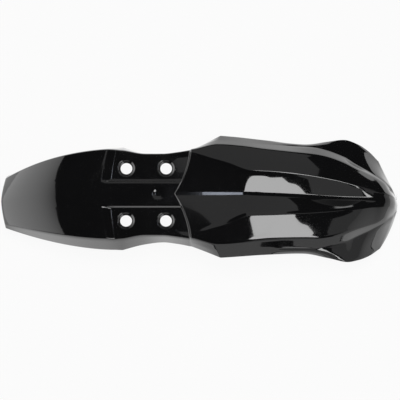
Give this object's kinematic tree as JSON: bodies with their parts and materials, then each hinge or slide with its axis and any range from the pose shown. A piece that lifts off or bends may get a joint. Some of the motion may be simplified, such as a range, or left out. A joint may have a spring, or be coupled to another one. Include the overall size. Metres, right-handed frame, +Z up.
{
  "type": "motorcycle front mudguard",
  "caption": "One-piece moulded front mudguard for an off-road motorcycle, with a dished bolt pattern between the fork legs, twin ridges and a flared nose.",
  "frame": {"origin": "middle of the four mounting holes, on the flat lands of their dished seats", "axes": "+X forward to the nose, +Y to the rider's left, +Z up along the mounting holes"},
  "size_m": [0.686, 0.2174, 0.0995],
  "materials": {
    "gloss_black_plastic": "polished black moulding with a clear, wet gloss"
  },
  "bodies": {
    "root": {"mudguard": "gloss_black_plastic"}
  },
  "joints": []
}
